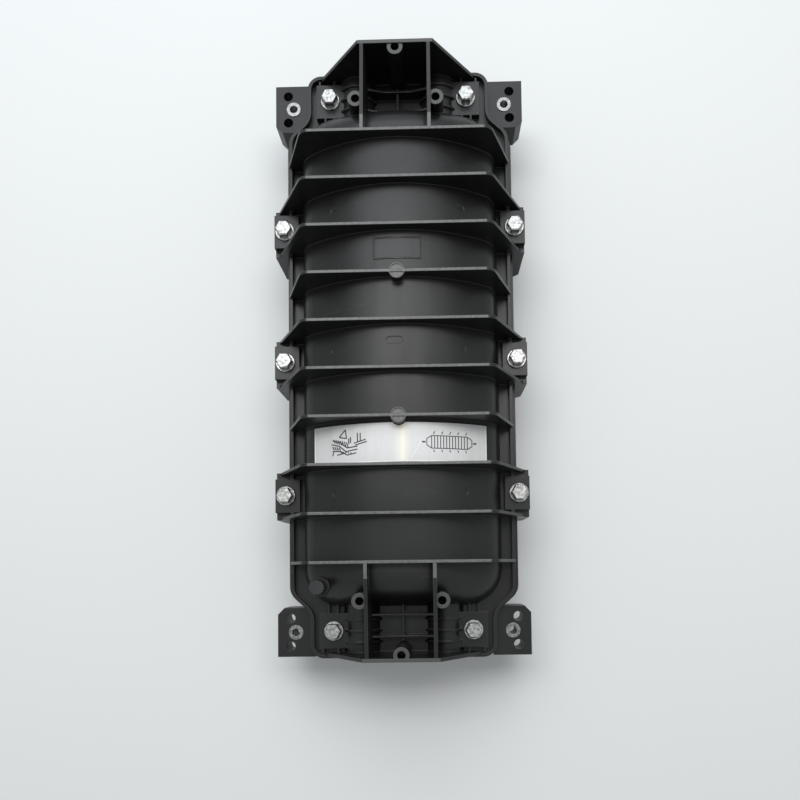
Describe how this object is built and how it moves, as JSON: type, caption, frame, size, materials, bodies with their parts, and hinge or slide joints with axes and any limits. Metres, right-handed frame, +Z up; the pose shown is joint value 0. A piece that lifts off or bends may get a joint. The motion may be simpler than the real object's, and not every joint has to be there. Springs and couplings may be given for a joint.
{
  "type": "fibre optic splice closure",
  "caption": "Horizontal in-line fibre optic splice closure: two ribbed half shells bolted around hinged splice trays, with cable ports at both ends and mounting ears.",
  "frame": {"origin": "middle of the footprint, on the surface that the lower ribs stand on", "axes": "+Y along the closure from one pair of ports to the other, +X across it, +Z up"},
  "size_m": [0.228, 0.528, 0.124],
  "materials": {
    "shell_plastic": "satin moulded black plastic",
    "zinc_steel": "bright zinc plated steel",
    "insert_steel": "turned steel",
    "label_foil": "printed silver foil",
    "seal_rubber": "soft matt rubber",
    "grommet_rubber": "soft matt rubber",
    "valve_brass": "nickel plated brass",
    "cap_plastic": "glossy black plastic",
    "frame_steel": "plain sheet steel",
    "tray_plastic": "off-white moulded plastic",
    "comb_plastic": "pale grey moulded plastic",
    "block_plastic": "black moulded plastic",
    "cover_clear": "clear plastic sheet",
    "strap_band": "black woven band"
  },
  "bodies": {
    "base": {"lower_shell": "shell_plastic", "flange_nuts": "zinc_steel", "ear_inserts": "insert_steel", "seal_cord_left": "seal_rubber", "seal_cord_right": "seal_rubber", "end_seal_front": "seal_rubber", "end_seal_back": "seal_rubber", "tray_frame": "frame_steel", "frame_screws": "zinc_steel", "tray_hinge_block": "tray_plastic", "tray_hinge_pins": "frame_steel", "tray_cover": "cover_clear", "tray_strap": "strap_band", "saddle_screws": "zinc_steel", "strength_screws": "zinc_steel", "splice_tray_1": "tray_plastic", "splice_tray_2": "tray_plastic", "splice_tray_3": "tray_plastic", "splice_tray_4": "tray_plastic", "splice_comb_1": "comb_plastic", "splice_comb_2": "comb_plastic", "splice_comb_3": "comb_plastic", "splice_comb_4": "comb_plastic", "port_grommet_front_left": "grommet_rubber", "port_grommet_front_right": "grommet_rubber", "port_grommet_back_left": "grommet_rubber", "port_grommet_back_right": "grommet_rubber", "clamp_block_front_left": "block_plastic", "clamp_block_front_right": "block_plastic", "clamp_block_back_left": "block_plastic", "clamp_block_back_right": "block_plastic", "cable_saddle_front_left": "frame_steel", "cable_saddle_front_right": "frame_steel", "cable_saddle_back_left": "frame_steel", "cable_saddle_back_right": "frame_steel", "strength_clamp_front_left": "frame_steel", "strength_clamp_front_right": "frame_steel", "strength_clamp_back_left": "frame_steel", "strength_clamp_back_right": "frame_steel"},
    "cover": {"upper_shell": "shell_plastic", "flange_bolts": "zinc_steel", "label_plate": "label_foil", "valve_stem": "valve_brass", "valve_washer": "seal_rubber"},
    "cap": {"valve_cap": "cap_plastic"}
  },
  "joints": [
    {"name": "cover_lift", "type": "slide", "parent": "base", "child": "cover", "axis": [0, 0, 1], "range_m": [0, 0.11]},
    {"name": "valve_cap_turn", "type": "hinge", "parent": "cover", "child": "cap", "pos_m": [-0.07, -0.2005, 0.1], "axis": [0, 0, 1], "continuous": true}
  ]
}
